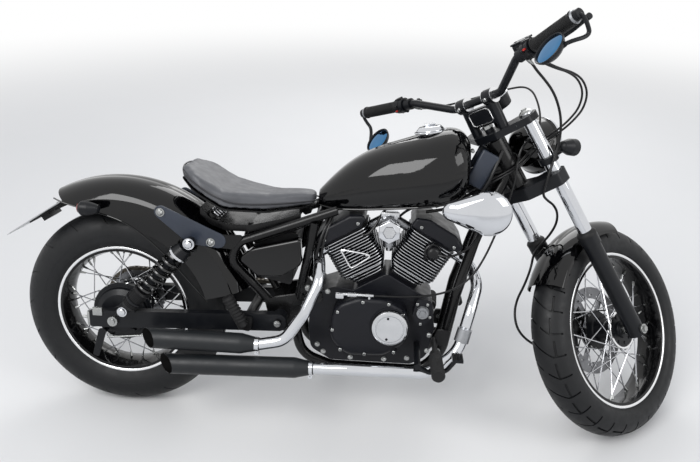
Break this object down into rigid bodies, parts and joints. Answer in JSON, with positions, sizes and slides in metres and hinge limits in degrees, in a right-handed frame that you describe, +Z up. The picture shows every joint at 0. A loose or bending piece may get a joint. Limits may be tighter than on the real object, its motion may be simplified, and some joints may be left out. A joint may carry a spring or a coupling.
{
  "type": "cruiser motorcycle",
  "caption": "Single-seat V-twin cruiser motorcycle with wire-spoke wheels, short rear fender and stacked mufflers, leaning on its side stand, fork on its stop.",
  "frame": {"origin": "on the ground, at the centre of the leaning machine's bounding box", "axes": "+X ahead along the machine, +Z up; the rider's left is +Y"},
  "size_m": [2.0576, 0.6976, 1.2462],
  "materials": {
    "cable_sheath": "smooth black sheath",
    "cast_alloy": "cast",
    "chain_steel": "oiled",
    "chrome": "polished",
    "disc_steel": "ground",
    "engine_black": "satin black",
    "exhaust_black": "matt black",
    "frame_black": "gloss black powder coat",
    "gloss_black": "gloss black",
    "grip_rubber": "ribbed",
    "peg_rubber": "ribbed",
    "plastic_black": "fine grain",
    "plate_sheet": "bare sheet",
    "rim_black": "gloss black",
    "satin_black": "satin black",
    "seat_leather": "stitched",
    "spoke_steel": "bright",
    "tyre_rubber": "ribbed rubber",
    "zinc_steel": "zinc plated"
  },
  "bodies": {
    "frame": {"frame_backbone": "frame_black", "frame_cradle": "frame_black", "seat_rails": "frame_black", "swingarm": "satin_black", "rear_axle": "zinc_steel", "rear_brake": "satin_black", "shock_absorbers": "satin_black", "shock_springs": "satin_black", "rear_fender": "gloss_black", "plate_holder": "plastic_black", "number_plate": "plate_sheet", "rear_lamps": "satin_black", "seat_cushion": "seat_leather", "seat_springs": "satin_black", "seat_pan": "frame_black", "fuel_tank": "gloss_black", "fuel_cap": "chrome", "crankcase": "engine_black", "engine_covers": "engine_black", "cylinders": "engine_black", "rocker_covers": "engine_black", "carburettor": "cast_alloy", "chrome_covers": "chrome", "side_covers": "gloss_black", "battery_box": "plastic_black", "mufflers": "exhaust_black", "exhaust_pipes": "chrome", "foot_levers": "satin_black", "foot_pegs": "peg_rubber", "drive_chain": "chain_steel"},
    "steering": {"fork_tubes": "chrome", "fork_sliders": "satin_black", "front_axle": "zinc_steel", "fork_clamps": "satin_black", "handlebar": "satin_black", "grips": "grip_rubber", "bar_controls": "satin_black", "mirrors": "satin_black", "headlamp": "gloss_black", "speedometer": "satin_black", "front_signals": "satin_black", "front_fender": "gloss_black", "front_brake": "satin_black", "brake_hose": "cable_sheath", "control_cables": "cable_sheath"},
    "front_wheel": {"front_tyre": "tyre_rubber", "front_rim": "rim_black", "front_hub": "satin_black", "front_spokes": "spoke_steel", "front_disc": "disc_steel"},
    "rear_wheel": {"rear_tyre": "tyre_rubber", "rear_rim": "rim_black", "rear_hub": "satin_black", "rear_spokes": "spoke_steel", "rear_sprocket": "disc_steel"},
    "side_stand": {"side_stand": "satin_black"}
  },
  "joints": [
    {"name": "steering_turn", "type": "hinge", "parent": "frame", "child": "steering", "pos_m": [0.73762, -0.05103, 0.26894], "axis": [-0.5163, 0.1334, 0.846], "range_deg": [-92, 0]},
    {"name": "front_wheel_spin", "type": "hinge", "parent": "steering", "child": "front_wheel", "pos_m": [0.77029, -0.00883, 0.28223], "axis": [-0.6169, 0.6273, -0.4754], "continuous": true},
    {"name": "rear_wheel_spin", "type": "hinge", "parent": "frame", "child": "rear_wheel", "pos_m": [-0.70324, -0.04653, 0.30795], "axis": [-0.0012, 0.9877, -0.1564], "continuous": true},
    {"name": "side_stand_swing", "type": "hinge", "parent": "frame", "child": "side_stand", "pos_m": [-0.09408, 0.04101, 0.19138], "axis": [0.0029, 0.9205, 0.3907], "range_deg": [0, 96]}
  ]
}
